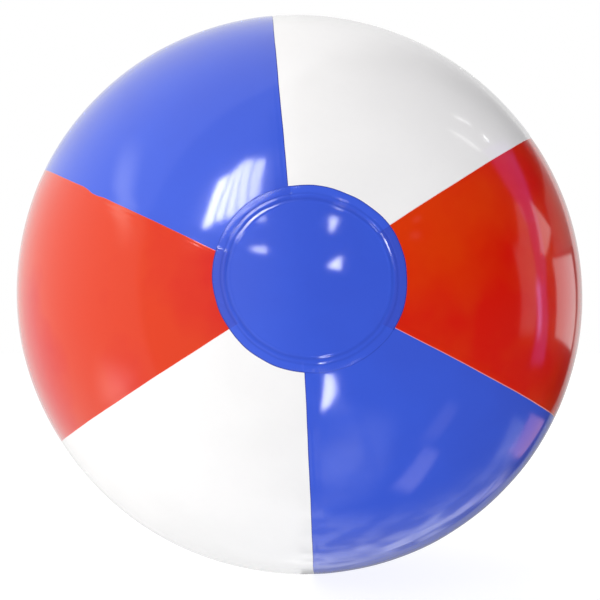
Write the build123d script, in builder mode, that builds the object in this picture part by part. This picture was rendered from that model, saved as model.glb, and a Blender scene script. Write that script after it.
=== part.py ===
"""Inflatable beach ball, modelled inflated, in millimetres.

The frame's origin is the centre of the ball. The polar axis is Y: the plain end disc is at -Y
and the end disc with the inflation valve is at +Y. Z is up.
The skin is six lune-shaped panels of film, lap-welded along meridians, and two end discs welded
over the panels' ends. The valve is stored pushed in, so that it is flush with the skin.
"""

import os
from math import asin, cos, degrees, radians, sin

from build123d import *

# Skin
BALL_RADIUS = 150.0
FILM = 0.25
LAP = 5.0  # width of the strip of film that runs on beneath the next panel
LAP_ROOT = 1.6  # width of the same strip beneath the panel's own edge
DISC_RADIUS = 41.7  # of the end discs, straight across
PANEL_OPENING = 36.6  # radius of the round gap that the panels' ends leave beneath each disc
FRONT_DISC_SHIFT_X = 4.6  # the plain disc is welded on a little off the pole
FRONT_DISC_SHIFT_Z = 2.7
PANELS = (  # name, and the angle from +X towards +Z of the weld where the panel begins
    ("panel_white_upper_right", 34.1),
    ("panel_blue_upper_left", 95.3),
    ("panel_red_left", 155.3),
    ("panel_white_lower_left", 212.5),
    ("panel_blue_lower_right", 272.6),
    ("panel_red_right", 334.7),
)

# Valve. Heights are along +Y from the ball's surface at the pole, so most are negative.
DISC_HOLE = 15.0  # radius of the hole in the rear disc
FLANGE_INNER, FLANGE_OUTER, FLANGE_THICK = 13.2, 23.0, 0.8
SKIRT_THICK = 0.6
SKIRT_TOP, SKIRT_BEND, SKIRT_ROOT = -0.62, -1.6, -11.5
STEM_OUTER = 5.4
STEM_MOUTH, STEM_INNER_END, STEM_LIP = -1.3, -15.3, 0.6
COLLAR_RADIUS, COLLAR_LOW, COLLAR_HIGH = 6.4, -12.4, -11.2
SEAT_RADIUS, SEAT_DEPTH = 3.6, 5.5  # where the plug sits
THROAT_RADIUS = 3.1  # where a pump's nozzle seats
PLUG_ROOT_RADIUS, PLUG_TIP_RADIUS, PLUG_LENGTH = 3.52, 2.7, 4.6
PLUG_HEAD_THICK, PLUG_DOME = 1.2, 0.35
STRAP_WIDTH, STRAP_THICK, STRAP_LOW, STRAP_FOLD_Z = 4.4, 0.9, -3.5, 8.5
FLAP_RADIUS, FLAP_THICK, FLAP_PIVOT_Z = 4.5, 0.35, 4.9

# The level plane through the valve's axis: its x is radial and its y is the height.
VALVE_SECTION = Plane(origin=(0, BALL_RADIUS, 0), x_dir=(1, 0, 0), z_dir=(0, 0, 1))

os.makedirs("parts", exist_ok=True)


def write(part, name):
    """Labels a finished piece and writes it to its own STEP file."""
    part.label = name
    export_step(part, f"parts/{name}.step")


def meridian_plane(angle):
    """The plane through Y at that angle from +X towards +Z: its x is radial and its y is Y."""
    a = radians(angle)
    return Plane(origin=(0, 0, 0), x_dir=(cos(a), 0, sin(a)), z_dir=(-sin(a), 0, cos(a)))


def ring_section(inner, outer, start, end):
    """The flat section of a spherical shell between two angles from the x axis."""
    with BuildSketch(Plane.XY) as section:
        with BuildLine():
            far = CenterArc((0, 0), outer, start, end - start)
            near = CenterArc((0, 0), inner, start, end - start)
            Line(far @ 0, near @ 0)
            Line(far @ 1, near @ 1)
        make_face()
    return section.sketch


FRONT = Vector(FRONT_DISC_SHIFT_X, -BALL_RADIUS, FRONT_DISC_SHIFT_Z).normalized()
REAR = Vector(0, 1, 0)


def panel(start, span):
    """One panel: a sector of the skin, and the lap strip that lies beneath the next panel."""
    polar_axis = Axis((0, 0, 0), (0, -1, 0))
    half_arc = 84
    swing = 30
    skin_section = ring_section(BALL_RADIUS - FILM, BALL_RADIUS, -half_arc, half_arc)
    strip_section = ring_section(BALL_RADIUS - 2 * FILM, BALL_RADIUS - FILM, -half_arc, half_arc)
    with BuildPart() as strip:
        with BuildSketch(meridian_plane(start + span - swing)):
            add(strip_section)
        revolve(axis=polar_axis, revolution_arc=2 * swing)
        with BuildSketch(meridian_plane(start + span).offset(-LAP_ROOT)):
            Rectangle(3 * BALL_RADIUS, 3 * BALL_RADIUS)
        extrude(amount=LAP_ROOT + LAP, mode=Mode.INTERSECT)
    with BuildPart() as gore:
        with BuildSketch(meridian_plane(start)):
            add(skin_section)
        revolve(axis=polar_axis, revolution_arc=span)
        add(strip.part)
        for outward in (FRONT, REAR):
            with BuildSketch(Plane(origin=(0, 0, 0), z_dir=outward)):
                Circle(PANEL_OPENING)
            extrude(amount=2 * BALL_RADIUS, mode=Mode.SUBTRACT)
    return gore.part


def end_disc(outward, hole):
    """A round patch of film on the ball, centred where that direction leaves the ball."""
    edge = degrees(asin(DISC_RADIUS / BALL_RADIUS))
    section = ring_section(BALL_RADIUS, BALL_RADIUS + FILM, 90 - edge, 90)
    across = outward.cross(Vector(1, 0, 0)).normalized()
    with BuildPart() as disc:
        with BuildSketch(Plane(origin=(0, 0, 0), x_dir=across, z_dir=across.cross(outward))):
            add(section)
        revolve(axis=Axis((0, 0, 0), outward))
        if hole:
            with BuildSketch(Plane(origin=(0, 0, 0), z_dir=outward)):
                Circle(hole)
            extrude(amount=2 * BALL_RADIUS, mode=Mode.SUBTRACT)
    return disc.part


def skin():
    """The six panels and the two end discs."""
    for i, (name, start) in enumerate(PANELS):
        following = PANELS[(i + 1) % len(PANELS)][1]
        write(panel(start, (following - start) % 360), name)
    write(end_disc(FRONT, 0), "end_disc_front")
    write(end_disc(REAR, DISC_HOLE), "end_disc_rear")


def valve_flange():
    """The ring of the valve that is welded to the inside of the rear disc."""
    edge = degrees(asin(FLANGE_OUTER / BALL_RADIUS))
    section = ring_section(BALL_RADIUS - FLANGE_THICK, BALL_RADIUS, 90 - edge, 90)
    with BuildPart() as flange:
        with BuildSketch(Plane.XY):
            add(section)
        revolve(axis=Axis.Y)
        with BuildSketch(Plane(origin=(0, 0, 0), z_dir=(0, 1, 0))):
            Circle(FLANGE_INNER)
        extrude(amount=2 * BALL_RADIUS, mode=Mode.SUBTRACT)
    write(flange.part, "valve_flange")


def valve_skirt():
    """The thin bowl that joins the flange to the stem and turns inside out as the valve moves."""
    inside = FLANGE_INNER - SKIRT_THICK
    under = SKIRT_ROOT - SKIRT_THICK
    slopes = [(0, -1), (-1, -0.1)]
    with BuildPart() as skirt:
        with BuildSketch(VALVE_SECTION):
            with BuildLine():
                Line((inside, SKIRT_TOP), (FLANGE_INNER, SKIRT_TOP))
                Line((FLANGE_INNER, SKIRT_TOP), (FLANGE_INNER, SKIRT_BEND))
                Spline((FLANGE_INNER, SKIRT_BEND), (COLLAR_RADIUS, under), tangents=slopes)
                Line((COLLAR_RADIUS, under), (COLLAR_RADIUS, SKIRT_ROOT))
                Spline((inside, SKIRT_BEND), (COLLAR_RADIUS, SKIRT_ROOT), tangents=slopes)
                Line((inside, SKIRT_BEND), (inside, SKIRT_TOP))
            make_face()
        revolve(axis=Axis.Y)
    write(skirt.part, "valve_skirt")


def valve_stem():
    """The tube that is blown into, with a seat for the plug and a narrower throat inside it."""
    with BuildPart() as stem:
        with BuildSketch(VALVE_SECTION):
            with BuildLine():
                Polyline(
                    (0, STEM_INNER_END),
                    (STEM_OUTER, STEM_INNER_END),
                    (STEM_OUTER, COLLAR_LOW),
                    (COLLAR_RADIUS, COLLAR_LOW),
                    (COLLAR_RADIUS, COLLAR_HIGH),
                    (STEM_OUTER, COLLAR_HIGH),
                    (STEM_OUTER, STEM_MOUTH - STEM_LIP),
                    (STEM_OUTER - STEM_LIP, STEM_MOUTH),
                    (0, STEM_MOUTH),
                    close=True,
                )
            make_face()
        revolve(axis=Axis.Y)
        with Locations(Plane(origin=(0, BALL_RADIUS + STEM_MOUTH, 0), z_dir=(0, 1, 0))):
            CounterBoreHole(THROAT_RADIUS, SEAT_RADIUS, SEAT_DEPTH, STEM_MOUTH - STEM_INNER_END)
    write(stem.part, "valve_stem")


def check_flap():
    """The loose disc that lies on the stem's inner end and stops air from flowing out."""
    with BuildPart() as flap:
        with BuildSketch(
            Plane(origin=(0, BALL_RADIUS + STEM_INNER_END, 0), x_dir=(1, 0, 0), z_dir=(0, -1, 0))
        ):
            Circle(FLAP_RADIUS)
            Rectangle(FLAP_RADIUS, FLAP_PIVOT_Z, align=(Align.CENTER, Align.MIN))
        extrude(amount=FLAP_THICK)
    write(flap.part, "check_flap")


def stopper_plug():
    """The tapered plug and its round head, which lies on the stem's mouth."""
    tip = STEM_MOUTH - PLUG_LENGTH
    head_top = STEM_MOUTH + PLUG_HEAD_THICK
    with BuildPart() as plug:
        with BuildSketch(VALVE_SECTION):
            with BuildLine():
                Polyline(
                    (0, head_top + PLUG_DOME),
                    (0, tip),
                    (PLUG_TIP_RADIUS - 0.5, tip),
                    (PLUG_TIP_RADIUS, tip + 0.5),
                    (PLUG_ROOT_RADIUS, STEM_MOUTH),
                    (STEM_OUTER, STEM_MOUTH),
                    (STEM_OUTER, head_top),
                )
                TangentArc((0, head_top + PLUG_DOME), (STEM_OUTER, head_top), tangent=(1, 0))
            make_face()
        revolve(axis=Axis.Y)
    write(plug.part, "stopper_plug")


def plug_strap():
    """The strap that keeps the plug: it leaves the stem, folds back and meets the plug's head."""
    high = STEM_MOUTH + PLUG_HEAD_THICK / 2
    middle = (high + STRAP_LOW) / 2
    arm = (high - STRAP_LOW) / 2
    side = Plane(origin=(0, BALL_RADIUS, 0), x_dir=(0, 0, 1), z_dir=(-1, 0, 0))
    with BuildPart() as strap:
        with BuildSketch(side):
            for sign in (-1, 1):
                with Locations((0, middle + sign * arm)):
                    Rectangle(STRAP_FOLD_Z, STRAP_THICK, align=(Align.MIN, Align.CENTER))
            with Locations((STRAP_FOLD_Z, middle)):
                Circle(arm + STRAP_THICK / 2)
                Circle(arm - STRAP_THICK / 2, mode=Mode.SUBTRACT)
            with Locations((STRAP_FOLD_Z, middle)):
                Rectangle(
                    STRAP_FOLD_Z,
                    2 * arm - STRAP_THICK,
                    align=(Align.MAX, Align.CENTER),
                    mode=Mode.SUBTRACT,
                )
        extrude(amount=STRAP_WIDTH / 2, both=True)
        with BuildSketch(Plane(origin=(0, BALL_RADIUS, 0), z_dir=(0, -1, 0))):
            Circle(STEM_OUTER)
        extrude(amount=-2 * STRAP_LOW, mode=Mode.SUBTRACT)
    write(strap.part, "plug_strap")


skin()
valve_flange()
valve_skirt()
valve_stem()
check_flap()
stopper_plug()
plug_strap()
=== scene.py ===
import math

import bmesh
import bpy
import numpy as np
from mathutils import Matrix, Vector


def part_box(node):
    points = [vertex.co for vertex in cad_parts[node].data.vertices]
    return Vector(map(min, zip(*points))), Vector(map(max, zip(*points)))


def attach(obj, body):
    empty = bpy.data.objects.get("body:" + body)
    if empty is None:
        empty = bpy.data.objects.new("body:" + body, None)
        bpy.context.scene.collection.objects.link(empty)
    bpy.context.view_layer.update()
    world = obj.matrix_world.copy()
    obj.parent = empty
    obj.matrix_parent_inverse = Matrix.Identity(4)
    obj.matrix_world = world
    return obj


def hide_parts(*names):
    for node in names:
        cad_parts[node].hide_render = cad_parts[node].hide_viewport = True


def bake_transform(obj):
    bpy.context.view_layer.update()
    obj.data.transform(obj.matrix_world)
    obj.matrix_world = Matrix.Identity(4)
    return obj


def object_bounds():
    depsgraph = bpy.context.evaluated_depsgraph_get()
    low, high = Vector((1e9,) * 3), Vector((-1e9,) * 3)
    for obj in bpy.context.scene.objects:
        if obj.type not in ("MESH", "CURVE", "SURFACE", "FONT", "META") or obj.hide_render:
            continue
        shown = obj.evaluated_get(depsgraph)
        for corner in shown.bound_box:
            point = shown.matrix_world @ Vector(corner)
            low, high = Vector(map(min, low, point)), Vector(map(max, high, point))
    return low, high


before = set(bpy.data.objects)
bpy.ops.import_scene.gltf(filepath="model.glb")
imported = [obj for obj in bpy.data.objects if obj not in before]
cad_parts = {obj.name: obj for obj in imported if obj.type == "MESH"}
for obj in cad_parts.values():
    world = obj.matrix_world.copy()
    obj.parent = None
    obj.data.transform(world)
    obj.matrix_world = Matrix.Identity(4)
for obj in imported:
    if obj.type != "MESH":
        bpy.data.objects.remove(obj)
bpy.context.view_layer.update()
MM = 0.001


# ---------------------------------------------------------------- what the CAD model says
def cad_points(node):
    """A CAD node's vertices, in the row frame."""
    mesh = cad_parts[node].data
    points = np.empty(len(mesh.vertices) * 3)
    mesh.vertices.foreach_get("co", points)
    return points.reshape(-1, 3)


PANELS = [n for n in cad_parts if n.startswith("panel_")]
BALL = max(np.linalg.norm(cad_points(n), axis=1).max() for n in PANELS)
FILM = np.linalg.norm(cad_points("end_disc_front"), axis=1).max() - BALL


def seam_angles(node):
    """Where a panel's outer film begins and ends, as angles from +X towards +Z."""
    points = cad_points(node)
    points = points[np.linalg.norm(points, axis=1) > BALL - 0.4 * FILM]
    mid = math.atan2(points[:, 2].mean(), points[:, 0].mean())
    turned = (np.arctan2(points[:, 2], points[:, 0]) - mid + math.pi) % (2 * math.pi) - math.pi
    return mid + turned.min(), mid + turned.max()


def away_from(points, axis):
    """How far each point is from the line through the origin along a unit vector."""
    return np.linalg.norm(points - np.outer(points @ axis, axis), axis=1)


def disc_axis(node):
    """The direction of an end disc's centre, its radius straight across, and its hole's radius."""
    points = cad_points(node)
    middle = points.mean(0) / np.linalg.norm(points.mean(0))
    away = away_from(points, middle)
    rim = points[away > 0.85 * away.max()]
    normal = np.linalg.svd(rim - rim.mean(0))[2][2]  # the rim is flat, so this is square to it
    normal *= np.sign(normal @ middle)
    away = away_from(points, normal)
    return normal, away.max(), away.min()


def opening_radius(node, axis):
    """The radius of the round gap that a panel's rear end leaves."""
    points = cad_points(node)
    return away_from(points, axis)[points[:, 1] > 0].min()


SEAMS = {n: seam_angles(n) for n in PANELS}
FRONT, DISC_RADIUS, _ = disc_axis("end_disc_front")
REAR, _, VALVE_HOLE = disc_axis("end_disc_rear")
OPENING = opening_radius(PANELS[0], REAR)
LAP = 5.0 * MM  # width of the strip of film that runs on beneath the next panel
LAP_FALL = 10.0 * MM  # how far past the lap the upper film takes to come down
PRESSED = 0.3  # the share of the film's thickness by which a weld's upper film still stands up
EDGE_ARC = BALL * math.asin(DISC_RADIUS / BALL)
OPENING_ARC = BALL * math.asin(OPENING / BALL)
TEETH = {"end_disc_front": 252, "end_disc_rear": 160}  # pressed round each rim by its welding tool
LONG_WAY = math.radians(-32)  # the heading in which the slightly oval front disc is longest
SLACK_SIDE = np.array([0.55, -0.15, -0.82])  # where the skin is a little slack, low on the right
DISC_CROWN = 0.35 * MM  # how far the front disc's middle swells out
TUCK = 0.25 * MM  # how far a disc presses the panels' ends in beneath it
LEAN = {  # welds that cross the meridian: millimetres per radian, and the angle from -Y where they cross
    "panel_blue_upper_left": (1.0, 0.78),
    "panel_red_left": (3.4, 0.70),
    "panel_blue_lower_right": (0.7, 0.50),
    "panel_red_right": (2.9, 0.62),
}


# ---------------------------------------------------------------- the shape of the taut skin
OUT_OF_ROUND = 0.00822  # the share by which the ball is longer one way and shorter across it
LONGEST = math.radians(-24.5)  # the heading of its longest way, from +X towards +Z
along, aslant = OUT_OF_ROUND * math.cos(2 * LONGEST), OUT_OF_ROUND * math.sin(2 * LONGEST)
STRETCH = np.array([[1 + along, 0, aslant], [0, 1, 0], [aslant, 0, 1 - along]])
UNSTRETCH = np.linalg.inv(STRETCH)


def smooth(x, low, high):
    """0 below low, 1 above high, and smooth between."""
    t = np.clip((x - low) / (high - low), 0, 1)
    return t * t * (3 - 2 * t)


def waves(u, seed, count, length):
    """Smooth unevenness over the sphere, about -1 to 1, with waves about that long in metres."""
    random = np.random.default_rng(seed)
    total = np.zeros(len(u))
    for _ in range(count):
        way = random.normal(size=3)
        way *= 2 * math.pi * BALL / length / np.linalg.norm(way) * random.uniform(0.7, 1.4)
        total += np.sin(u @ way + random.uniform(0, 2 * math.pi))
    return total / math.sqrt(count)


def seam_distance(u):
    """Along the parallel, metres from the nearest weld where a panel begins: signed, + inside it."""
    angle = np.arctan2(u[:, 2], u[:, 0])
    across = BALL * np.hypot(u[:, 0], u[:, 2])
    best = np.full(len(u), 9.0)
    for start, _ in SEAMS.values():
        d = ((angle - start + math.pi) % (2 * math.pi) - math.pi) * across
        best = np.where(np.abs(d) < np.abs(best), d, best)
    return best


def axis_arc(u, axis):
    """Metres over the surface from an end disc's centre."""
    return BALL * np.arccos(np.clip(u @ axis, -1, 1))


def bump(x, centre, width):
    """A smooth hump of height 1 about a centre."""
    return np.exp(-(((x - centre) / width) ** 2))


def relief(u):
    """How far the taut film stands off the smooth ball, in metres, before films are laid on it."""
    d = np.abs(seam_distance(u))
    dip = -0.07 * MM * bump(d, 0, 3.2 * MM) - 0.05 * MM * np.exp(-d / (9 * MM))
    puckers = 0.020 * MM * waves(u, 3, 14, 13 * MM) * np.exp(-d / (6 * MM))
    seams = dip + puckers
    total = 0.08 * MM * waves(u, 5, 12, 75 * MM) + 0.010 * MM * waves(u, 8, 16, 24 * MM)
    slack = smooth(u @ SLACK_SIDE, 0.82, 0.97)
    total += 0.055 * MM * waves(u * [1, 3, 1], 21, 12, 30 * MM) * slack
    for axis in (FRONT, REAR):
        a = axis_arc(u, axis)
        seams *= smooth(a, OPENING_ARC - 5 * MM, OPENING_ARC)
        gather = waves(u, 11, 18, 11 * MM) * np.exp(-np.abs(a - EDGE_ARC + 3 * MM) / (3 * MM))
        total += 0.018 * MM * gather
    total += DISC_CROWN * (1 - smooth(axis_arc(u, FRONT), 0, OPENING_ARC))
    return total + seams


def around(axis):
    """Two unit vectors square to the axis."""
    first = np.cross(axis, [0.0, 0.0, 1.0])
    first /= np.linalg.norm(first)
    return first, np.cross(axis, first)


def headings(axis, turn):
    """Unit vectors square to the axis, at each turn about it."""
    first, second = around(axis)
    return np.cos(turn)[..., None] * first + np.sin(turn)[..., None] * second


def rim_arc(axis, turn):
    """How far an end disc's rim is from its centre, over the surface, at each turn about its axis."""
    heading = headings(axis, turn)
    tilt = np.degrees(np.arctan2(heading[..., 2], heading[..., 0]))
    wander = 0.05 * np.sin(7 * turn + 1) + 0.07 * np.sin(15 * turn + 2) + 0.03 * np.sin(23 * turn)
    if axis[1] < 0:
        wander += 0.8 * np.cos(2 * (np.radians(tilt) - LONG_WAY)) - 0.35
        wander += 1.1 * bump(tilt, 32, 24) - 0.7 * bump(tilt, -68, 38)
    return EDGE_ARC + wander * MM


def beneath(u):
    """Metres inside the rim of the nearer end disc, negative outside both."""
    best = np.full(len(u), -1.0)
    for axis in (FRONT, REAR):
        first, second = around(axis)
        turn = np.arctan2(u @ second, u @ first)
        best = np.maximum(best, rim_arc(axis, turn) - axis_arc(u, axis))
    return best


def place(u, height):
    """Points that stand that high off the stretched ball, above each direction u."""
    normal = u @ UNSTRETCH.T
    normal /= np.linalg.norm(normal, axis=1)[:, None]
    return (u @ STRETCH.T) * BALL + normal * height[:, None]


def lap_level(u, soften):
    """0 to 1: how far the film is lifted by the edge of the one beneath it, past each weld."""
    d = seam_distance(u)
    return smooth(d, -soften, 0.4 * soften) * (1 - smooth(d, LAP, LAP + LAP_FALL))


# ---------------------------------------------------------------- building film
def film_object(name, outer, inner, wrap=False, centre=None):
    """A closed film from two grids of points, rows by columns: its outer and its inner face.

    wrap joins the last column to the first, and centre is the pair of points that then closes row 0.
    """
    rows, columns = outer.shape[:2]
    count = rows * columns
    index = np.arange(count).reshape(rows, columns)
    right = np.roll(index, -1, 1) if wrap else index[:, 1:]
    left = index if wrap else index[:, :-1]
    quads = np.stack([left[:-1], right[:-1], right[1:], left[1:]], -1).reshape(-1, 4)
    rims = []
    ends = [(right[-1], left[-1])] if centre else [(left[0], right[0]), (right[-1], left[-1])]
    for a, b in ends:
        rims.append(np.stack([b, a, a + count, b + count], -1))
    if not wrap:
        for edge, flip in ((index[:, 0], False), (index[:, -1], True)):
            a, b = (edge[1:], edge[:-1]) if flip else (edge[:-1], edge[1:])
            rims.append(np.stack([a, b, b + count, a + count], -1))
    rims = np.concatenate(rims)
    faces = np.concatenate([quads, quads[:, ::-1] + count, rims]).tolist()
    points = np.concatenate([outer.reshape(-1, 3), inner.reshape(-1, 3)]).tolist()
    if centre:
        points += [list(p) for p in centre]
        for a, b in zip(left[0].tolist(), right[0].tolist()):
            faces.append((2 * count, b, a))
            faces.append((2 * count + 1, a + count, b + count))
    mesh = bpy.data.meshes.new(name)
    mesh.from_pydata(points, [], faces)
    mesh.update()
    mesh.shade_smooth()
    mesh.set_sharp_from_angle(angle=math.radians(50))
    made = bpy.data.objects.new(name, mesh)
    bpy.context.scene.collection.objects.link(made)
    return made


def mark(piece, what, values):
    """Marks a film's points for its material, from values of 0 to 1 at its outer points."""
    values = np.concatenate([values, values])
    values = np.concatenate([values, np.zeros(len(piece.data.vertices) - len(values))])
    attribute = piece.data.attributes.new(what, "FLOAT", "POINT")
    attribute.data.foreach_set("value", values.astype(np.float32))


def spaced(stops):
    """Positions from (start, end, count) runs, each run's last point left to the next."""
    runs = [np.linspace(a, b, n, endpoint=False) for a, b, n in stops]
    return np.concatenate(runs + [np.array([stops[-1][1]])])


def directions(angle, polar):
    """Unit vectors from the angle round Y and the angle from -Y."""
    return np.stack(
        [np.sin(polar) * np.cos(angle), -np.cos(polar), np.sin(polar) * np.sin(angle)], -1
    )


def end_angle(angle, axis, arc):
    """The angle from -Y or +Y at which a meridian crosses the circle of that arc about the axis."""
    side = -1 if axis[1] < 0 else 1
    a = axis[0] * np.cos(angle) + axis[2] * np.sin(angle)
    b = axis[1] * side
    return np.arctan2(a, b) + np.arccos(math.cos(arc / BALL) / np.hypot(a, b))


def edge_wander(name, polar):
    """How far a panel's cut edge strays from its meridian, in metres."""
    phase = sum(ord(c) for c in name)
    wander = 0.05 * np.sin(polar * 19 + phase) + 0.02 * np.sin(polar * 53 + 2 * phase)
    rate, crossing = LEAN.get(name, (0, 0))
    settled = 1 - smooth(polar, 1.45, 2.2)  # past the ball's middle every weld keeps to its meridian
    wander += rate * (crossing - np.minimum(polar, 1.3)) * settled
    if name == "panel_red_left":  # a nick in the cut, and a step aside after it
        wander += 0.5 * smooth(polar, 0.70, 0.74) * (1 - smooth(polar, 0.775, 0.785))
        wander -= 0.7 * smooth(polar, 0.775, 0.83) * settled
    return wander * MM


def panel(name):
    """One panel's film, from beneath the front disc to beneath the rear disc."""
    start, end = SEAMS[name]
    # where the columns lie: from the panel's own cut edge, and from the far weld, closest at each
    near = np.array([0, 0.06, 0.13, 0.21, 0.3, 0.42, 0.7, 1.0, 1.4, 1.8, 2.3, 2.8, 3.4, 4.0, 4.6])
    near = np.concatenate([near, [5.2, 5.9, 6.7, 7.6, 8.6, 9.7, 10.9, 12.2, 13.6, 15.1]]) * MM
    far = np.array([-10.0, -8, -6.5, -5.2, -4.1, -3.2, -2.4, -1.7, -1.1, -0.6, -0.3, 0]) * MM
    far = np.concatenate([far, np.array([0.5, 1.4, 2.4, 3.4, 4.2, 4.8, 5.0]) * MM])
    share = np.linspace(0, 1, 32)[1:-1]
    rows = spaced([(0, 0.035, 34), (0.035, 0.10, 34), (0.10, 0.90, 170), (0.90, 0.965, 34), (0.965, 1, 34)])
    rows = rows[:, None]

    polar = 0.24 + rows * (math.pi - 0.48)
    for _ in range(3):  # columns are set out in metres, so their angles depend on the row
        across = BALL * np.sin(polar.mean(1, keepdims=True))
        width = (end - start) * across
        low, high = near[-1], width + far[0]
        middle = low + (high - low) * share
        reach = np.concatenate([np.broadcast_to(near, (len(rows), len(near))), middle, width + far], 1)
        angle = start + reach / across
        front = end_angle(angle, FRONT, OPENING_ARC)
        rear = end_angle(angle, REAR, OPENING_ARC)
        polar = front + rows * (math.pi - rear - front)
    angle = angle + edge_wander(name, polar) / across * np.exp(-reach / (4 * MM))
    u = directions(angle, polar)
    shape = u.shape[:2]
    flat = u.reshape(-1, 3)
    reach = np.broadcast_to(reach, shape).reshape(-1)
    lift = FILM * PRESSED * (1 - smooth(reach, LAP, LAP + LAP_FALL))
    base = relief(flat)
    bead = 0.025 * MM * bump(reach, 1.5 * MM, 0.45 * MM) + 0.020 * MM * bump(reach, 4.2 * MM, 0.6 * MM)
    rounding = FILM * 0.3 * (1 - smooth(reach, 0, 0.3 * MM))
    tuck = TUCK * smooth(beneath(flat), 0.1 * MM, 0.9 * MM)
    outer = base + lift - bead - rounding - tuck
    inner = base + lift - 0.97 * FILM - tuck
    made = film_object(
        name + "_film",
        place(flat, outer).reshape(*shape, 3),
        place(flat, inner).reshape(*shape, 3),
    )
    painted_edge_share = 0.1 if name == "panel_red_left" else 1.0  # that one's painted edge highlight is faint: its edge is hardly paler than its film
    # the line along each panel's cut edge: a painted highlight on red panels, a painted shade on blue ones
    mark(made, "edge_highlight_and_shade", painted_edge_share * (1 - smooth(reach, 0.25 * MM, 0.42 * MM)))
    return made


def end_disc(name, axis, hole_arc, teeth):
    """An end disc's film: over the panels' ends at its rim, and level with them within."""
    turn = np.linspace(0, 2 * math.pi, 4 * teeth, endpoint=False)[None, :]
    heading = headings(axis, turn)
    edge = rim_arc(axis, turn)
    fine = [(-11.5, -9.0, 4), (-9.0, -2.2, 26), (-2.2, -0.6, 5), (-0.6, 0, 5)]
    rim = spaced([(a * MM, b * MM, n) for a, b, n in fine])[:, None]
    near = [0, 0.15 * MM, 0.35 * MM, *np.arange(0.8, 9.5, 0.4) * MM] if hole_arc else [2 * MM]
    near = hole_arc + np.array(near)[:, None] + 0 * turn
    inner_share = np.linspace(0, 1, 11)[1:-1, None]
    core = np.concatenate([near, near[-1] + inner_share * (edge + rim[0] - near[-1])])
    arc = np.concatenate([core, edge + rim], 0)
    u = np.cos(arc / BALL)[..., None] * axis + np.sin(arc / BALL)[..., None] * heading
    shape = u.shape[:2]
    flat = u.reshape(-1, 3)
    arc = arc.reshape(-1)
    inward = (np.broadcast_to(edge, shape).reshape(-1) - arc) / MM
    turn = np.broadcast_to(turn, shape).reshape(-1)
    over = smooth(arc, OPENING_ARC - 3.2 * MM, OPENING_ARC + 0.2 * MM)
    under = lap_level(flat, 1.1 * MM) * smooth(arc, OPENING_ARC - 1.6 * MM, OPENING_ARC)
    bed = relief(flat) + FILM * (PRESSED * over + 0.6 * under)
    groove = 0.11 * bump(inward, 4.0, 0.5) + 0.13 * bump(inward, 6.4, 0.7)
    crest = 0.05 * bump(inward, 5.0, 0.35) + 0.06 * bump(inward, 7.6, 0.45)
    knurl = 0.03 * np.sin(turn * teeth) * smooth(inward, 0.3, 0.6) * (1 - smooth(inward, 1.6, 2.0))
    rounding = FILM * 0.3 * (1 - smooth(inward, 0, 0.25))
    outer = bed + (crest - groove + knurl) * MM - rounding
    if hole_arc:
        outward = (arc - hole_arc) / MM
        outer -= FILM * 0.4 * (1 - smooth(outward, 0, 0.2))
        for ring in (1.6, 3.4, 5.2, 7.0):
            outer -= 0.10 * MM * bump(outward, ring, 0.45)
    inner = bed - 0.95 * FILM
    middle = np.array([axis, axis])
    level = relief(middle) - np.array([0, 0.95 * FILM])
    made = film_object(
        name + "_film",
        place(flat, outer).reshape(*shape, 3),
        place(flat, inner).reshape(*shape, 3),
        wrap=True,
        centre=None if hole_arc else list(place(middle, level)),
    )
    angle = np.arctan2(flat[:, 2], flat[:, 0])
    backed = smooth(arc, OPENING_ARC - 0.4 * MM, OPENING_ARC)
    contrast = 0.35  # the painted shade line at the rim shows less where it lies on film of its own colour
    for hue in ("red", "white"):
        spans = [SEAMS[panel_name] for panel_name in PANELS if hue in panel_name]
        over_hue = np.any([(angle - start) % (2 * math.pi) < end - start for start, end in spans], axis=0)
        mark(made, "over_" + hue, backed * over_hue)
        contrast = np.where(over_hue, 1, contrast)
    # painted shade: a dark line along the disc's rim, and darker weld grooves
    edge_highlight_and_shade = contrast * (1 - smooth(inward, 0.25, 0.55))
    mark(made, "edge_highlight_and_shade", np.maximum(edge_highlight_and_shade, 1.6 * groove))
    return made


# ---------------------------------------------------------------- materials
def noise(tree, scale, detail, roughness=0.5, variant=None):
    """A noise value over the object's own space, at so many cells a metre. variant gives it another run."""
    coordinates = tree.nodes.new("ShaderNodeTexCoord")
    node = tree.nodes.new("ShaderNodeTexNoise")
    node.inputs["Scale"].default_value = scale
    node.inputs["Detail"].default_value = detail
    node.inputs["Roughness"].default_value = roughness
    if variant is not None:
        node.noise_dimensions = "4D"
        node.inputs["W"].default_value = variant
    tree.links.new(coordinates.outputs["Object"], node.inputs["Vector"])
    return node.outputs["Fac"]


def ranged(tree, value, low, high, to_low, to_high, kind="LINEAR"):
    """A value carried from one range to another, and held at its ends."""
    node = tree.nodes.new("ShaderNodeMapRange")
    node.interpolation_type = kind
    for socket, number in zip(("From Min", "From Max", "To Min", "To Max"), (low, high, to_low, to_high)):
        node.inputs[socket].default_value = number
    tree.links.new(value, node.inputs["Value"])
    return node.outputs["Result"]


def maths(tree, operation, *values):
    """One math node on values that are numbers or other nodes' outputs."""
    node = tree.nodes.new("ShaderNodeMath")
    node.operation = operation
    for socket, value in zip(node.inputs, values):
        if isinstance(value, (int, float)):
            socket.default_value = value
        else:
            tree.links.new(value, socket)
    return node.outputs["Value"]


def mixed(tree, share, first, second):
    """A colour between two, by a value. Each is three numbers or another node's output."""
    node = tree.nodes.new("ShaderNodeMix")
    node.data_type = "RGBA"
    for socket, colour in (("A", first), ("B", second)):
        if isinstance(colour, bpy.types.NodeSocket):
            tree.links.new(colour, node.inputs[socket])
        else:
            node.inputs[socket].default_value = (*colour, 1)
    tree.links.new(share, node.inputs["Factor"])
    return node.outputs["Result"]


def marked(tree, what):
    """The values marked on a piece's points."""
    node = tree.nodes.new("ShaderNodeAttribute")
    node.attribute_name = what
    return node.outputs["Fac"]


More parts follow.
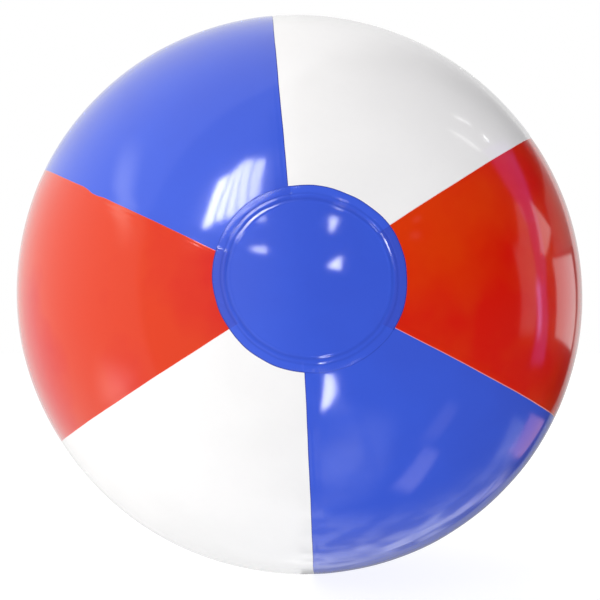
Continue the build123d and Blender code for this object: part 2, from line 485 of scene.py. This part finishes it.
def film_material(name, deep, light, cut, backings=()):
    """Glossy plasticised vinyl film: clouds from deep to light, scuffs and orange peel, and the colour cut
    painted along its cut edges: a painted highlight where cut is paler than the film, a painted shade where
    it is darker. backings are marks on the film, each with the colour that shows through there."""
    material = bpy.data.materials.new(name)
    material.use_nodes = True
    tree = material.node_tree
    shader = tree.nodes["Principled BSDF"]
    shader.inputs["IOR"].default_value = 1.5
    shader.inputs["Specular IOR Level"].default_value = 0.04
    shader.inputs["Coat Weight"].default_value = 1.0
    shader.inputs["Coat Roughness"].default_value = 0.09
    shader.inputs["Coat IOR"].default_value = 1.5
    tone = mixed(tree, ranged(tree, noise(tree, 14, 4, variant=30.8), 0.41, 0.58, 0, 1), deep, light)
    for backing, colour in backings:
        tone = mixed(tree, marked(tree, backing), tone, colour)
    # the colour cut along the cut edges: a painted highlight on red film, a painted shade on blue film
    tone = mixed(tree, marked(tree, "edge_highlight_and_shade"), tone, cut)
    tree.links.new(tone, shader.inputs["Base Color"])
    scuffs = ranged(tree, noise(tree, 60, 2), 0, 1, 0.25, 0.39)
    tree.links.new(scuffs, shader.inputs["Roughness"])
    peel = tree.nodes.new("ShaderNodeBump")
    peel.inputs["Strength"].default_value = 0.08
    peel.inputs["Distance"].default_value = 0.0002
    tree.links.new(noise(tree, 420, 3, 0.55), peel.inputs["Height"])
    tree.links.new(peel.outputs["Normal"], shader.inputs["Normal"])
    return material


BACKINGS = [("over_red", (0.043, 0.083, 0.57)), ("over_white", (0.045, 0.107, 0.69))]
# Each film's third colour is painted along its cut edges: pale on red as a painted highlight, dark on blue as
# a painted shade, pinkish on white.
RED = (0.64, 0.007, 0.001), (0.68, 0.036, 0.001), (0.80, 0.30, 0.28)
PALE = (0.84, 0.84, 0.85), (0.87, 0.87, 0.88), (0.86, 0.72, 0.72)
BLUE = (0.041, 0.094, 0.63), (0.042, 0.103, 0.675), (0.012, 0.03, 0.30)
FILMS = {
    "red": film_material("vinyl_red", *RED),
    "white": film_material("vinyl_white", *PALE),
    "blue": film_material("vinyl_blue", *BLUE, BACKINGS),
}


def dress(piece, material, body, node):
    """Gives a piece its material and its body, and hides the CAD node it stands for."""
    piece.data.materials.append(material)
    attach(piece, body)
    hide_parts(node)


for node in PANELS:
    hue = node.split("_")[1]
    piece = panel(node)
    dress(piece, FILMS[hue], "ball", node)

for node, axis, hole in (("end_disc_front", FRONT, 0.0), ("end_disc_rear", REAR, VALVE_HOLE)):
    hole_arc = BALL * math.asin(hole / BALL)
    piece = end_disc(node, axis, hole_arc, TEETH[node])
    dress(piece, FILMS["blue"], "ball", node)


# ---------------------------------------------------------------- the valve
# Outlines are (radius, height) in millimetres, heights being along +Y from the ball's surface.
def heights(node):
    """A node's lowest and highest place along the valve's axis."""
    return [(corner.y - BALL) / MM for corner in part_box(node)]


def half_width(node):
    """A node's reach from the valve's axis towards +X."""
    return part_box(node)[1].x / MM


STEM_LOW, STEM_HIGH = heights("valve_stem")
STEM_RADIUS, COLLAR_RADIUS = 5.4, half_width("valve_stem")
COLLAR_LOW, COLLAR_HIGH = STEM_LOW + 2.9, STEM_LOW + 4.1
SEAT_RADIUS, SEAT_DEPTH, THROAT_RADIUS = 3.6, 5.5, 3.1
PLUG_LOW, PLUG_HIGH = heights("stopper_plug")
SKIRT_LOW, SKIRT_HIGH = heights("valve_skirt")
SKIRT_RADIUS, FLANGE_RADIUS = half_width("valve_skirt"), half_width("valve_flange")
SKIRT_THICK = 0.54
STRAP_LOW, STRAP_HIGH = heights("plug_strap")
STRAP_WIDTH, STRAP_THICK = 2 * half_width("plug_strap"), 0.9
FLAP_BOX = [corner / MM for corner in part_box("check_flap")]


def rounded(corners, cuts, steps=5):
    """A closed outline with its corners rounded, cut being how far from each the rounding starts."""
    corners = np.array(corners, float)
    points = []
    for i, (corner, cut) in enumerate(zip(corners, cuts)):
        ends = []
        for other in (corners[i - 1], corners[(i + 1) % len(corners)]):
            away = other - corner
            ends.append(corner + away * min(cut / np.linalg.norm(away), 0.48))
        for t in np.linspace(0, 1, steps) if cut else [0]:
            points.append((1 - t) ** 2 * ends[0] + 2 * t * (1 - t) * corner + t * t * ends[1])
    return np.array(points)


def mesh_piece(name, points, faces):
    """A smooth-shaded piece, with its faces turned outwards."""
    work = bmesh.new()
    made = [work.verts.new(p) for p in points]
    for face in faces:
        work.faces.new([made[i] for i in face])
    bmesh.ops.recalc_face_normals(work, faces=work.faces)
    mesh = bpy.data.meshes.new(name)
    work.to_mesh(mesh)
    work.free()
    mesh.shade_smooth()
    mesh.set_sharp_from_angle(angle=math.radians(40))
    piece = bpy.data.objects.new(name, mesh)
    bpy.context.scene.collection.objects.link(piece)
    return piece


def turned(name, outline, count=128, shaping=None):
    """A turned piece from a closed outline. Outline points on the axis become single points.

    shaping(angle, radius, height) gives each point's extra radius.
    """
    angle = np.linspace(0, 2 * math.pi, count, endpoint=False)
    points, rings = [], []
    for radius, height in outline:
        if radius < 1e-6:
            rings.append([len(points)] * count)
            points.append((0, BALL + height * MM, 0))
            continue
        rings.append(list(range(len(points), len(points) + count)))
        reach = radius + (shaping(angle, radius, height) if shaping else 0 * angle)
        for a, r in zip(angle, reach):
            points.append((r * MM * math.cos(a), BALL + height * MM, r * MM * math.sin(a)))
    faces = []
    for ring, after in zip(rings, rings[1:] + rings[:1]):
        for i in range(count):
            face = [ring[i], ring[i - 1], after[i - 1], after[i]]
            face = list(dict.fromkeys(face))
            if len(face) > 2:
                faces.append(face)
    return mesh_piece(name, points, faces)


def parting_line(angle, radius, height):
    """The fine ridge that a two-part mould leaves along each side."""
    return 0.07 * bump(np.sin(angle), 0, 0.03)


def flange():
    """The ring welded beneath the rear disc round its hole, with a raised lip where the skirt starts."""
    turn = np.linspace(0, 2 * math.pi, 320, endpoint=False)[None, :]
    plain = SKIRT_RADIUS + 2.4  # outside this the ring has no detail
    radius = spaced([(SKIRT_RADIUS, plain, 20), (plain, FLANGE_RADIUS, 14)])[:, None]
    across = radius * MM / BALL
    u = np.stack([across * np.cos(turn), np.sqrt(1 - across**2) + 0 * turn, across * np.sin(turn)], -1)
    flat = u.reshape(-1, 3)
    out = np.broadcast_to(radius - SKIRT_RADIUS, u.shape[:2]).reshape(-1)
    bed = relief(flat) - 1.02 * FILM
    lip = 0.10 * bump(out, 0.45, 0.35) - 0.08 * bump(out, 1.25, 0.25)
    rounding = 0.2 * (1 - smooth(out, 0, 0.3))
    top = place(flat, bed + (lip - rounding) * MM).reshape(u.shape)
    under = place(flat, bed - 0.8 * MM).reshape(u.shape)
    return film_object("valve_flange_ring", top, under, wrap=True)


def skirt():
    """The thin cone, ringed with soft creases, by which the stem is pushed in and pulled out."""
    along = np.linspace(0, 1, 56)
    middle_radius = SKIRT_RADIUS - 0.3 + (COLLAR_RADIUS - SKIRT_RADIUS + 0.2) * smooth(along, 0.02, 1)
    middle_radius += 0.10 * np.sin(along * 34) * smooth(along, 0.08, 0.2) * (1 - smooth(along, 0.8, 0.95))
    middle_height = SKIRT_HIGH + (SKIRT_LOW + 0.35 - SKIRT_HIGH) * along**1.15
    slope = np.stack([np.gradient(middle_radius), np.gradient(middle_height)], -1)
    slope /= np.linalg.norm(slope, axis=1)[:, None]
    across = np.stack([-slope[:, 1], slope[:, 0]], -1) * SKIRT_THICK / 2
    middle = np.stack([middle_radius, middle_height], -1)
    outline = np.concatenate([middle + across, (middle - across)[::-1]])

    def pucker(angle, radius, height):
        depth = (SKIRT_HIGH - height) / (SKIRT_HIGH - SKIRT_LOW)
        return 0.09 * math.sin(math.pi * min(max(depth, 0), 1)) * np.sin(9 * angle + 2 * depth)

    return turned("valve_skirt_cone", outline, 144, pucker)


def stem():
    """The valve's tube: a lip at its mouth, the plug's stepped seat, and a collar on the skirt."""
    corners = [
        (THROAT_RADIUS, STEM_LOW),
        (STEM_RADIUS, STEM_LOW),
        (STEM_RADIUS, COLLAR_LOW),
        (COLLAR_RADIUS, COLLAR_LOW),
        (COLLAR_RADIUS, COLLAR_HIGH),
        (STEM_RADIUS, COLLAR_HIGH),
        (STEM_RADIUS, STEM_HIGH - 1.9),
        (STEM_RADIUS - 0.18, STEM_HIGH - 1.7),
        (STEM_RADIUS - 0.18, STEM_HIGH - 1.3),
        (STEM_RADIUS, STEM_HIGH - 1.1),
        (STEM_RADIUS, STEM_HIGH),
        (SEAT_RADIUS, STEM_HIGH),
        (SEAT_RADIUS, STEM_HIGH - SEAT_DEPTH),
        (THROAT_RADIUS, STEM_HIGH - SEAT_DEPTH),
    ]
    cuts = [0.25, 0.35, 0.2, 0.35, 0.35, 0.3, 0.1, 0.1, 0.1, 0.1, 0.6, 0.25, 0.3, 0.15]

    def line(angle, radius, height):
        return parting_line(angle, radius, height) if radius > STEM_RADIUS - 0.1 else 0 * angle

    return turned("valve_stem_tube", rounded(corners, cuts), 160, line)


def plug():
    """The stopper: a tapered shank with two sealing ribs, and a low domed head."""
    head_rim = PLUG_HIGH - 0.35
    shank = [(2.7, 0), (2.98, 1.3), (3.18, 1.5), (3.18, 1.9), (3.02, 2.1)]
    shank += [(3.16, 2.9), (3.36, 3.1), (3.36, 3.5), (3.2, 3.7), (3.5, STEM_HIGH - PLUG_LOW)]
    corners = [(0, PLUG_LOW)] + [(r, PLUG_LOW + h) for r, h in shank]
    corners += [
        (STEM_RADIUS, STEM_HIGH),
        (STEM_RADIUS, head_rim),
        (4.3, PLUG_HIGH - 0.16),
        (4.0, PLUG_HIGH - 0.32),
        (3.7, PLUG_HIGH - 0.12),
        (0, PLUG_HIGH),
    ]
    cuts = [0, 0.5, 0.1, 0.1, 0.1, 0.1, 0.1, 0.1, 0.1, 0.1, 0.2, 0.3, 0.35, 0.15, 0.15, 0.15, 0]
    return turned("stopper_plug_cap", rounded(corners, cuts), 144, parting_line)


def strap():
    """The flat strap from stem to plug, waisted and ribbed where it folds."""
    centre = (STRAP_LOW + STRAP_HIGH) / 2
    bend = (STRAP_HIGH - STRAP_LOW - STRAP_THICK) / 2
    fold_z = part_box("plug_strap")[1].z / MM - bend - STRAP_THICK / 2
    root = STEM_RADIUS - 0.25
    route = [(z, centre - bend) for z in np.linspace(root, fold_z, 14)[:-1]]
    for a in np.linspace(-math.pi / 2, math.pi / 2, 25):
        route.append((fold_z + bend * math.cos(a), centre + bend * math.sin(a)))
    route += [(z, centre + bend) for z in np.linspace(fold_z, root, 14)[1:]]
    route = np.array(route)
    slope = np.gradient(route, axis=0)
    slope /= np.linalg.norm(slope, axis=1)[:, None]
    share = np.linspace(-1, 1, len(route))
    thick = STRAP_THICK / 2 * (1 - 0.28 * bump(share, 0, 0.28))
    thick -= 0.05 * np.cos(share * 60) * np.exp(-((share / 0.3) ** 4))  # the fold's ribs
    wide = STRAP_WIDTH / 2 * (1 - 0.14 * bump(share, 0, 0.3))
    corners = [(-1, -1), (1, -1), (1, 1), (-1, 1)]
    points, faces = [], []
    for middle, way, t, w in zip(route, slope, thick, wide):
        section = rounded([(x * w, y * t) for x, y in corners], [0.28] * 4)
        for x, y in section:
            z, h = middle + np.array([-way[1], way[0]]) * y
            points.append((x * MM, BALL + h * MM, z * MM))
    n = len(section)
    for row in range(len(route) - 1):
        for i in range(n):
            here, beside = row * n + i, row * n + (i + 1) % n
            faces.append((here, beside, beside + n, here + n))
    faces.append(tuple(range(n)))
    faces.append(tuple(range(len(points) - n, len(points))))
    return mesh_piece("plug_strap_band", points, faces)


def flap():
    """The loose disc over the stem's inner end, with its hinge tab and a faint ring where it seals."""
    turn = np.linspace(0, 2 * math.pi, 160, endpoint=False)
    radius, tab_half, tab_end = -FLAP_BOX[0].z, -FLAP_BOX[0].z / 2, FLAP_BOX[1].z
    thick = FLAP_BOX[1].y - FLAP_BOX[0].y
    top = FLAP_BOX[1].y - BALL / MM
    up, side = np.sin(turn), np.abs(np.cos(turn))
    tab = np.minimum(tab_end / np.maximum(up, 1e-6), tab_half / np.maximum(side, 1e-6))
    edge = np.where(up > 0, np.maximum(radius, tab), radius)
    stations = [(0, 0), (0.3, 0), (0.55, 0), (0.66, 0.02), (0.70, 0.05), (0.74, 0.02), (0.85, 0), (0.96, 0)]
    stations += [(0.985, 0.04), (1.0, 0.12)]
    layers = [(s, top - d) for s, d in stations]
    layers += [(s, top - thick + d) for s, d in reversed(stations)]
    points, faces, rings = [], [], []
    for s, h in layers:
        if s == 0:
            rings.append([len(points)] * len(turn))
            points.append((0, BALL + h * MM, 0))
            continue
        rings.append(list(range(len(points), len(points) + len(turn))))
        for a, r in zip(turn, edge * s):
            points.append((r * MM * math.cos(a), BALL + h * MM, r * MM * math.sin(a)))
    for ring, after in zip(rings, rings[1:]):
        for i in range(len(turn)):
            faces.append(list(dict.fromkeys([ring[i], ring[i - 1], after[i - 1], after[i]])))
    return mesh_piece("check_flap_disc", points, faces)


def moulded_material(name, colour, clearness, roughness):
    """Soft milky vinyl, moulded: cloudy, a little see-through, with a satin grain."""
    material = bpy.data.materials.new(name)
    material.use_nodes = True
    tree = material.node_tree
    shader = tree.nodes["Principled BSDF"]
    shader.inputs["IOR"].default_value = 1.53
    shader.inputs["Transmission Weight"].default_value = clearness
    shader.inputs["Coat Weight"].default_value = 0.35
    shader.inputs["Coat Roughness"].default_value = 0.15
    clouds = ranged(tree, noise(tree, 260, 3), 0.3, 0.7, 0, 1)
    tone = mixed(tree, clouds, [c * 0.94 for c in colour], [min(1, c * 1.03) for c in colour])
    tree.links.new(tone, shader.inputs["Base Color"])
    satin = ranged(tree, noise(tree, 900, 2), 0, 1, roughness - 0.07, roughness + 0.09)
    tree.links.new(satin, shader.inputs["Roughness"])
    grain = tree.nodes.new("ShaderNodeBump")
    grain.inputs["Strength"].default_value = 0.15
    grain.inputs["Distance"].default_value = 0.00008
    tree.links.new(noise(tree, 2600, 3, 0.6), grain.inputs["Height"])
    tree.links.new(grain.outputs["Normal"], shader.inputs["Normal"])
    return material


MILKY = moulded_material("vinyl_milky", (0.86, 0.88, 0.89), 0.18, 0.30)
CLEAR = moulded_material("vinyl_clear", (0.88, 0.90, 0.90), 0.55, 0.18)

dress(flange(), MILKY, "ball", "valve_flange")
dress(stem(), MILKY, "valve", "valve_stem")
dress(plug(), MILKY, "plug", "stopper_plug")
dress(flap(), CLEAR, "flap", "check_flap")


def bend_between(piece, node):
    """Gives a piece that reaches between two bodies, from one height over the surface to another, its
    material, hides the CAD node it stands for and bakes its placement into its mesh.
    """
    piece.data.materials.append(MILKY)
    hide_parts(node)
    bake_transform(piece)


bend_between(skirt(), "valve_skirt")
bend_between(strap(), "plug_strap")

# ---------------------------------------------------------------- camera
DISTANCE_RATIO = 4.5  # from the camera to the ball's centre, in units of the ball's radius
LIFT = math.radians(-1.65)  # the camera's height, as seen from the ball
MARGIN = 1.06686  # half the picture's width over the radius at which the ball shows in it
AIM = Vector((0.27 * MM, 0, -2.84 * MM))


def make_camera():
    """The photograph's viewpoint: level with the ball and straight before its plain disc."""
    data = bpy.data.cameras.new("camera")
    data.sensor_width = 36
    data.lens = data.sensor_width / 2 / (MARGIN * math.tan(math.asin(1 / DISTANCE_RATIO)))
    data.clip_start = 0.05
    camera = bpy.data.objects.new("camera", data)
    bpy.context.scene.collection.objects.link(camera)
    camera.location = Vector((0, -math.cos(LIFT), math.sin(LIFT))) * DISTANCE_RATIO * BALL
    camera.rotation_euler = (AIM - camera.location).to_track_quat("-Z", "Y").to_euler()
    bpy.context.scene.camera = camera


make_camera()

# ---------------------------------------------------------------- floor
FLOOR_REACH = 6.0
FLOOR_TONE, FLOOR_GLOW = 0.16, 0.89  # it has a light of its own, so that it stays as white as the studio


def make_floor():
    """A plain pale floor at the ball's foot, which the gloss doesn't mirror."""
    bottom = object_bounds()[0].z
    signs = ((-1, -1), (1, -1), (1, 1), (-1, 1))
    mesh = bpy.data.meshes.new("floor")
    mesh.from_pydata([(x * FLOOR_REACH, y * FLOOR_REACH, bottom) for x, y in signs], [], [(0, 1, 2, 3)])
    floor = bpy.data.objects.new("floor", mesh)
    bpy.context.scene.collection.objects.link(floor)
    floor.visible_glossy = False
    material = bpy.data.materials.new("floor")
    material.use_nodes = True
    shader = material.node_tree.nodes["Principled BSDF"]
    shader.inputs["Base Color"].default_value = (FLOOR_TONE, FLOOR_TONE, FLOOR_TONE, 1)
    shader.inputs["Roughness"].default_value = 0.9
    shader.inputs["Emission Color"].default_value = (1, 1, 1, 1)
    shader.inputs["Emission Strength"].default_value = FLOOR_GLOW
    material.cycles.emission_sampling = "NONE"
    mesh.materials.append(material)


make_floor()


# ---------------------------------------------------------------- the white studio round the ball
def switched(tree, choose, shader_off, shader_on):
    """One shader or the other, by a light path value."""
    node = tree.nodes.new("ShaderNodeMixShader")
    tree.links.new(choose, node.inputs["Fac"])
    tree.links.new(shader_off, node.inputs[1])
    tree.links.new(shader_on, node.inputs[2])
    return node.outputs["Shader"]


def backdrop(tree, strength, tint=None):
    """A background shader of that strength, a number or a node's output, white without a tint."""
    node = tree.nodes.new("ShaderNodeBackground")
    node.inputs["Color"].default_value = (1, 1, 1, 1)
    if tint:
        tree.links.new(tint, node.inputs["Color"])
    if isinstance(strength, (int, float)):
        node.inputs["Strength"].default_value = strength
    else:
        tree.links.new(strength, node.inputs["Strength"])
    return node.outputs["Background"]


def between(tree, value, low, high, to_low, to_high):
    """A value carried from one range to another with soft ends."""
    return ranged(tree, value, low, high, to_low, to_high, "SMOOTHSTEP")


def soft_light(tree, to_right, to_top):
    """Light that is brighter and warmer from the left, and dimmer from the right, most of all near level."""
    level = maths(tree, "SUBTRACT", 1, maths(tree, "MULTIPLY", to_top, to_top))
    soft = maths(tree, "MULTIPLY_ADD", maths(tree, "MULTIPLY", to_right, level), -1.08, 1.12)
    soft = maths(tree, "ADD", soft, ranged(tree, to_top, -1, 0, 0.10, 0))
    soft = maths(tree, "MAXIMUM", soft, 0.2)
    warm = ranged(tree, to_right, -0.9, -0.1, 1, 0)
    cool = ranged(tree, to_right, 0.1, 0.9, 0, 1)
    tint = mixed(tree, cool, mixed(tree, warm, (1, 1, 1), (1.05, 1.01, 0.94)), (1.0, 0.955, 1.0))
    return backdrop(tree, soft, tint)


def mirrored_room(tree, way, to_right, to_back, to_top):
    """What the gloss mirrors: a pale wall on the left, an unlit room, and pale again behind the ball."""
    bearing = maths(tree, "ARCTAN2", to_right, maths(tree, "MULTIPLY", to_back, -1))
    bearing = maths(tree, "DEGREES", bearing)
    wall = between(tree, bearing, -65, -61, 0.85, 0.55)
    fading = between(tree, bearing, -35, 8, 0, 0.55)
    room = maths(tree, "SUBTRACT", wall, fading)
    behind = between(tree, to_back, 0.83, 0.85, 0, 1)
    behind = maths(tree, "MULTIPLY", behind, between(tree, to_top, -0.2, -0.03, 0.32, 0.72))
    above = between(tree, to_top, 0.08, 0.30, 0, 1)
    above = maths(tree, "MULTIPLY", above, between(tree, bearing, 138, 172, 0, 0.8))
    below = between(tree, to_top, -0.62, -0.35, 1, 0)
    below = maths(tree, "MULTIPLY", below, between(tree, bearing, 110, 160, 0, 0.9))
    clutter = tree.nodes.new("ShaderNodeTexNoise")
    clutter.inputs["Scale"].default_value = 9
    clutter.inputs["Detail"].default_value = 3
    tree.links.new(way, clutter.inputs["Vector"])
    below = maths(tree, "MULTIPLY", below, between(tree, clutter.outputs["Fac"], 0.40, 0.58, 0.35, 1.0))
    for part in (behind, above, below):
        room = maths(tree, "MAXIMUM", room, part)
    return backdrop(tree, room)


def make_studio():
    """A world that the camera sees as white, matt surfaces as soft light, and the gloss as a room."""
    world = bpy.data.worlds.new("studio")
    bpy.context.scene.world = world
    world.use_nodes = True
    tree = world.node_tree
    way = tree.nodes.new("ShaderNodeTexCoord").outputs["Generated"]
    direction = tree.nodes.new("ShaderNodeSeparateXYZ")
    tree.links.new(way, direction.inputs["Vector"])
    to_right, to_back, to_top = (direction.outputs[axis] for axis in "XYZ")
    path = tree.nodes.new("ShaderNodeLightPath")
    soft = soft_light(tree, to_right, to_top)
    room = mirrored_room(tree, way, to_right, to_back, to_top)
    lit = switched(tree, path.outputs["Is Glossy Ray"], soft, room)
    seen = switched(tree, path.outputs["Is Camera Ray"], lit, backdrop(tree, 1.0))
    tree.links.new(seen, tree.nodes["World Output"].inputs["Surface"])


make_studio()

# Cards that only the gloss shows: panes, lamps, and the pale or coloured things of a room. A card's
# corners run lower left, lower right, upper right, upper left, where it has faded to half.
CARD_DISTANCE = 25.0
WHITE = (1.0, 1.0, 1.0)
LILAC = (0.90, 0.80, 1.0)
VIOLET = (0.38, 0.16, 0.80)
ROSE = (1.0, 0.42, 0.45)


def toward(bearing, height):
    """The far point at that bearing (0 before the ball, + to the right) and height, in degrees."""
    bearing, height = math.radians(bearing), math.radians(height)
    flat = CARD_DISTANCE * math.cos(height)
    return flat * math.sin(bearing), -flat * math.cos(bearing), CARD_DISTANCE * math.sin(height)


def patch(at, across, along):
    """Four corners about a bearing and height, from half its width and half its length as steps."""
    signs = ((-1, -1), (1, -1), (1, 1), (-1, 1))
    return [(at[0] + u * across[0] + v * along[0], at[1] + u * across[1] + v * along[1]) for u, v in signs]


def glow_material(name, tint, radiance, edge, patches):
    """Light added to what is behind. edge is the share of each half that fades, and patches is how
    many cloudy patches it has a metre, or 0."""
    material = bpy.data.materials.new(name)
    material.use_nodes = True
    tree = material.node_tree
    tree.nodes.clear()
    cell = tree.nodes.new("ShaderNodeSeparateXYZ")
    tree.links.new(tree.nodes.new("ShaderNodeTexCoord").outputs["UV"], cell.inputs["Vector"])
    shares = []
    for axis in "XY":
        out = maths(tree, "ABSOLUTE", maths(tree, "MULTIPLY_ADD", cell.outputs[axis], 2, -1))
        shares.append(between(tree, out, 1 - edge, 1, 1, 0))
    strength = maths(tree, "MULTIPLY", maths(tree, "MULTIPLY", *shares), radiance)
    if patches:
        patchy = between(tree, noise(tree, patches, 3), 0.38, 0.62, 0.15, 1.0)
        strength = maths(tree, "MULTIPLY", strength, patchy)
    emission = tree.nodes.new("ShaderNodeEmission")
    emission.inputs["Color"].default_value = (*tint, 1)
    tree.links.new(strength, emission.inputs["Strength"])
    clear = tree.nodes.new("ShaderNodeBsdfTransparent")
    both = tree.nodes.new("ShaderNodeAddShader")
    tree.links.new(clear.outputs["BSDF"], both.inputs[0])
    tree.links.new(emission.outputs["Emission"], both.inputs[1])
    output = tree.nodes.new("ShaderNodeOutputMaterial")
    tree.links.new(both.outputs["Shader"], output.inputs["Surface"])
    material.cycles.emission_sampling = "NONE"
    return material


def card(name, corners, radiance, tint=WHITE, edge=0.3, bow=0.0):
    """A glowing card. Corners are bearings and heights. bow rounds the card's right side."""
    glow_piece(name, [np.array(toward(*c)) for c in corners], radiance, tint, edge, bow)


def floor_card(name, corners, radiance, tint=WHITE, edge=0.3, patches=0):
    """A glowing card on a far floor. Corners are places to the right of and behind the ball, in units
    of the ball's height above that floor."""
    far = [np.array([x, y, -1]) * CARD_DISTANCE / 2 for x, y in corners]
    glow_piece(name, far, radiance, tint, edge, patches=patches)


def glow_piece(name, far, radiance, tint, edge, bow=0.0, patches=0):
    """A card from its far corners, each the point where it has faded to half."""
    middle = sum(far) / 4
    far = [middle + (corner - middle) / (1 - edge / 2) for corner in far]
    n = 11  # points along each side
    steps = np.linspace(0, 1, n)
    vertices = []
    for v in steps:
        left, right = far[0] + (far[3] - far[0]) * v, far[1] + (far[2] - far[1]) * v
        wide = 1 - bow * (2 * v - 1) ** 2
        vertices += [tuple(left + (right - left) * u * wide) for u in steps]
    faces = []
    for row in range(n - 1):
        for column in range(n - 1):
            first = row * n + column
            faces.append((first, first + 1, first + n + 1, first + n))
    mesh = bpy.data.meshes.new(name)
    mesh.from_pydata(vertices, [], faces)
    layer = mesh.uv_layers.new(name="UVMap")
    for loop in mesh.loops:
        row, column = divmod(loop.vertex_index, n)
        layer.data[loop.index].uv = (column / (n - 1), row / (n - 1))
    mesh.materials.append(glow_material(name, tint, radiance, edge, patches))
    made = bpy.data.objects.new(name, mesh)
    bpy.context.scene.collection.objects.link(made)
    made.visible_camera = False
    made.visible_diffuse = False
    made.visible_shadow = False


for slat in range(5):  # light through a window blind, between the window's sill and its head
    shares = np.array([slat, slat + 0.80]) / 5
    sill = -38.6 + 22 * shares
    head = np.interp(shares, (0, 0.2, 0.6, 0.972), (-37, -31.6, -27.1, -18.2))
    sill_height = np.interp(sill, (-38.6, -33.9, -25, -17.2), (20, 24.3, 27.3, 33.8))
    head_height = np.interp(head, (-37, -30.5, -27.7, -18.2), (39.7, 44.6, 49.4, 50))
    lower_left, lower_right = zip(sill, sill_height)
    upper_left, upper_right = zip(head, head_height)
    corners = [lower_left, lower_right, upper_right, upper_left]
    card(f"window_pane_{slat + 1}", corners, 25 - 2.5 * slat, edge=0.28)
card("window_haze", patch((-27, 36), (12, 5), (2, 11)), 1.9, edge=0.95)
card("lamp_upper", [(12.8, 23.6), (13.6, 23.4), (16.4, 27.2), (12.9, 28.6)], 20, edge=0.3)
card("lamp_lower", [(11.3, 10.2), (17.2, 8.4), (17.3, 14.2), (15.8, 13.4)], 21, edge=0.3)
card("lamp_low", [(10.2, -46.5), (16.5, -43.5), (15.2, -32), (11.2, -31)], 20, edge=0.25, bow=0.35)
card("lamp_left", [(-19.4, 15), (-13.8, 14.4), (-13.8, 17.4), (-19.2, 16.2)], 16, edge=0.5)
card("lamp_left_upper", [(-17.5, 25.9), (-13.6, 25.7), (-13.7, 28), (-17.7, 28.2)], 9, edge=0.6)
card("wall_lamp_upper", [(-76, 18), (-70, 20), (-84, 40), (-98, 38)], 1.7, (1.0, 1.0, 0.85), edge=0.9)
card("wall_lamp_lower", patch((-87, -28), (7, -3), (5, 5)), 1.3, edge=0.95)
card("shelf_upper", patch((48, 26.5), (1.8, 0), (0.5, 1.3)), 0.9, ROSE, edge=0.7)
card("shelf_lower", patch((46, 20), (2.2, 0), (0.3, 1.1)), 0.9, ROSE, edge=0.7)
card("bulb_a", patch((113.2, 45.7), (0.5, 0.3), (-1.3, 2.2)), 4, edge=0.5)
card("bulb_b", patch((114.7, 38.7), (1.1, 0), (0, 0.9)), 5, edge=0.5)
card("bulb_c", patch((101.5, 43.2), (0.7, 0.5), (-3.1, 4.5)), 2.5, edge=0.5)
card("curtain_top", [(104, 27), (118, 23), (127, 31), (105, 38)], 0.75, VIOLET, edge=0.4)
card("curtain_upper", [(105, 18), (115, 17), (118, 23), (104, 27)], 0.8, VIOLET, edge=0.3)
card("curtain_middle", [(103.5, 2), (110.5, 2), (115, 17), (105, 18)], 0.75, VIOLET, edge=0.3)
card("curtain_foot", [(107, -15), (117, -13), (110, 3), (103, 3)], 0.85, VIOLET, edge=0.3)
card("curtain_light", patch((106.5, -2), (1.2, 0), (-1.5, 6)), 2.4, (0.65, 0.45, 1.0), edge=0.6)
card("door_light", [(109.5, 10.5), (113, 9.6), (124, 13.7), (115, 21.5)], 1.15, edge=0.12)
card("door_upper", [(95.5, 13), (104, 12.5), (107, 22), (103, 24)], 0.45, edge=0.4)
card("door_lower", [(95, -9), (104, -8), (104, 13), (92.5, 13)], 0.5, edge=0.35)
card("side_wall", [(121, 9), (150, 7), (153, 19), (128, 18)], 0.18, edge=0.15)
card("picture", [(121, -7), (144, -5.5), (142, 7), (118, 8.5)], 1.0, edge=0.08)
floor_card("floor_light", [(0.08, -1.1), (0.42, -1.0), (0.36, -0.15), (0, 0.1)], 1.0, edge=0.6, patches=0.15)
floor_card("floor_light_side", [(0.30, -0.95), (0.74, -0.66), (0.36, -0.04), (0.1, 0.0)], 0.6, edge=0.7)
floor_card("floor_streak", [(0.47, 0.02), (0.55, 0.18), (0.86, -0.02), (0.80, -0.19)], 1.3, LILAC, 0.45)
floor_card("floor_gleam", [(0.82, -0.3), (0.88, -0.16), (1.38, -0.3), (1.33, -0.5)], 0.6, LILAC, 0.7)
floor_card("floor_edge", [(-0.05, 0.72), (0.64, 0.80), (0.68, 1.2), (-0.05, 1.1)], 0.7, edge=0.4, patches=0.3)
floor_card("floor_corner", [(0.6, 0.95), (0.72, 1.35), (1.3, 2.7), (1.2, 1.45)], 0.6, LILAC, 0.4, patches=0.3)
floor_card("towel", [(1.33, 1.1), (1.42, 2.1), (2.1, 3.0), (2.06, 1.45)], 0.85, ROSE)
floor_card("towel_side", [(1.2, 0.8), (1.29, 1.3), (1.8, 1.3), (1.76, 0.75)], 0.4, edge=0.5)
bpy.context.scene.view_settings.view_transform = "Standard"
